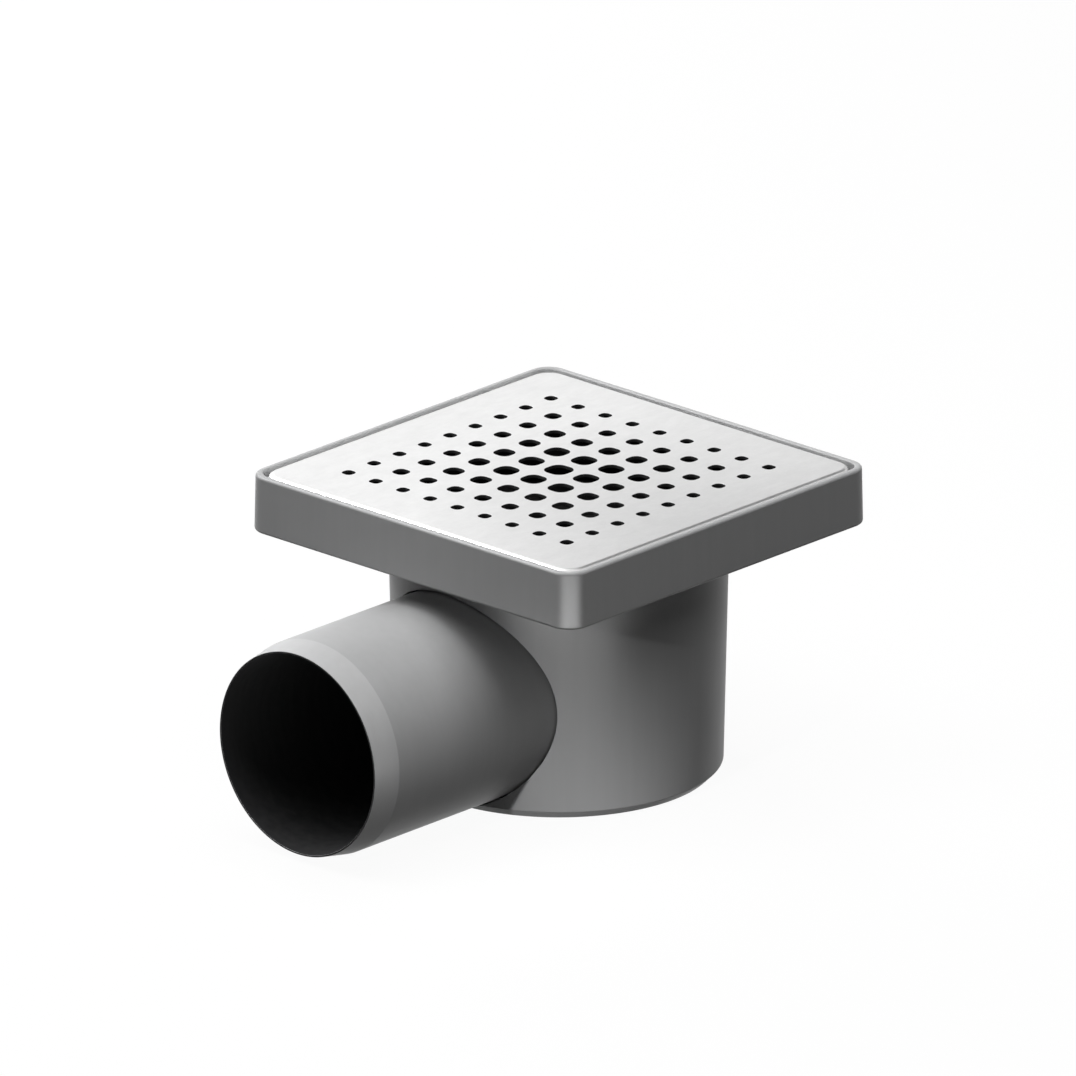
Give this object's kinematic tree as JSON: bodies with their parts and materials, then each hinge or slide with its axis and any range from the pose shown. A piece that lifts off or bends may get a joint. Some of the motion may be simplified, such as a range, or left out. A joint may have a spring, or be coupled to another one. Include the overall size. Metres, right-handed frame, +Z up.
{
  "type": "gully trap",
  "caption": "Square floor gully trap: perforated steel grate in a plastic frame, round pot with a 50 mm side outlet and a lift-out cup trap.",
  "frame": {"origin": "centre of the pot's flat base, on the pot's axis", "axes": "+Z up through the grate, -Y along the outlet, out of its mouth"},
  "size_m": [0.1, 0.136, 0.0705],
  "materials": {
    "grate_steel": "fine brushed",
    "housing_plastic": "satin mid-grey moulding",
    "trap_plastic": "black moulding",
    "seal_rubber": "smooth"
  },
  "bodies": {
    "root": {"grate": "grate_steel", "frame": "housing_plastic", "pot": "housing_plastic", "outlet_spigot": "housing_plastic", "trap_funnel": "trap_plastic", "trap_cup": "trap_plastic", "trap_seal": "seal_rubber"}
  },
  "joints": []
}
